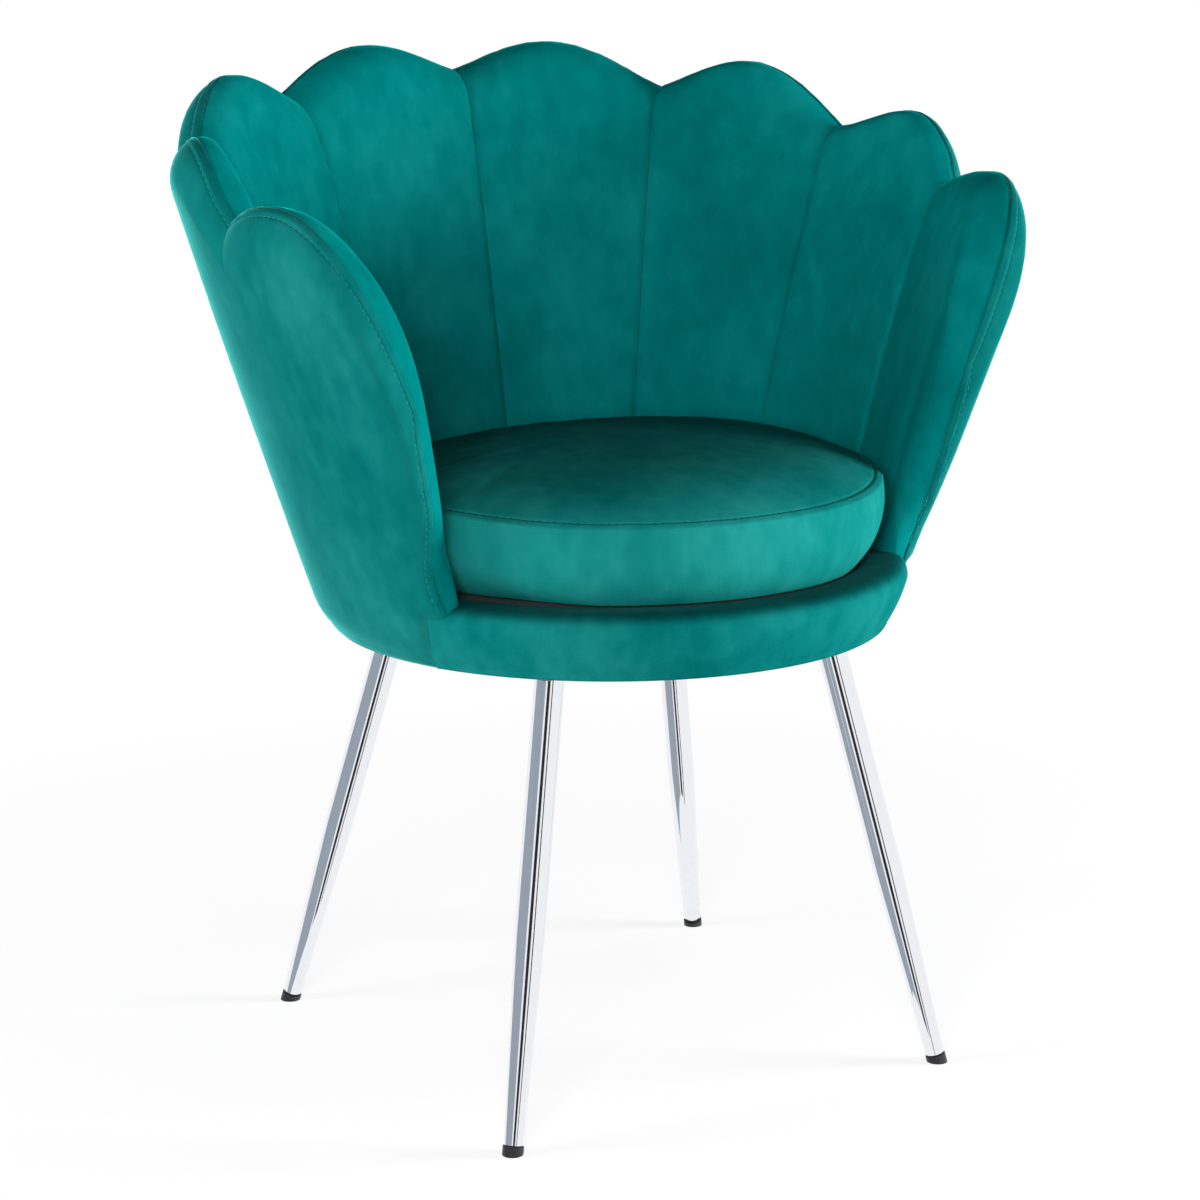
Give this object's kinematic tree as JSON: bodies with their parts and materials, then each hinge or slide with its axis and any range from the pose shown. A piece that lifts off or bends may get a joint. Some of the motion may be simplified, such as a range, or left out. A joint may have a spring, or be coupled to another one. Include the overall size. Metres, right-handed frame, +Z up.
{
  "type": "upholstered armchair",
  "caption": "Velvet tub armchair with a flared scallop-shell back of padded petals, a loose round boxed seat cushion and splayed tapered chrome legs.",
  "frame": {"origin": "on the floor, under the middle of the chair's overall box", "axes": "+Z up, -Y towards the front of the seat, +X to the right seen from the front"},
  "size_m": [0.6822, 0.5168, 0.7902],
  "materials": {
    "velvet": "short-pile velvet, teal green",
    "plywood": "bare birch plywood",
    "deck_cloth": "foam deck under plain cloth",
    "foam": "open-cell foam",
    "dust_cloth": "black non-woven",
    "chrome": "polished chrome plate",
    "steel": "zinc plated",
    "glide_plastic": "moulded black"
  },
  "bodies": {
    "frame": {"petal_left_1": "velvet", "petal_left_2": "velvet", "petal_left_3": "velvet", "petal_left_4": "velvet", "petal_right_1": "velvet", "petal_right_2": "velvet", "petal_right_3": "velvet", "petal_right_4": "velvet", "outer_cover_left": "velvet", "outer_cover_right": "velvet", "outer_cover_back": "velvet", "apron_pad": "velvet", "back_shell": "plywood", "front_rail": "plywood", "seat_board": "plywood", "deck_pad": "deck_cloth", "dust_cover": "dust_cloth", "leg_front_left": "chrome", "leg_plate_front_left": "steel", "glide_front_left": "glide_plastic", "leg_front_right": "chrome", "leg_plate_front_right": "steel", "glide_front_right": "glide_plastic", "leg_back_left": "chrome", "leg_plate_back_left": "steel", "glide_back_left": "glide_plastic", "leg_back_right": "chrome", "leg_plate_back_right": "steel", "glide_back_right": "glide_plastic", "leg_bolts": "steel", "leg_washers": "steel", "t_nuts": "steel", "shell_screws": "steel"},
    "seat_cushion": {"cushion_top_panel": "velvet", "cushion_band": "velvet", "cushion_bottom_panel": "velvet", "cushion_foam": "foam"}
  },
  "joints": [
    {"name": "cushion_lift", "type": "slide", "parent": "frame", "child": "seat_cushion", "axis": [0, 0, 1], "range_m": [0, 0.4]}
  ]
}
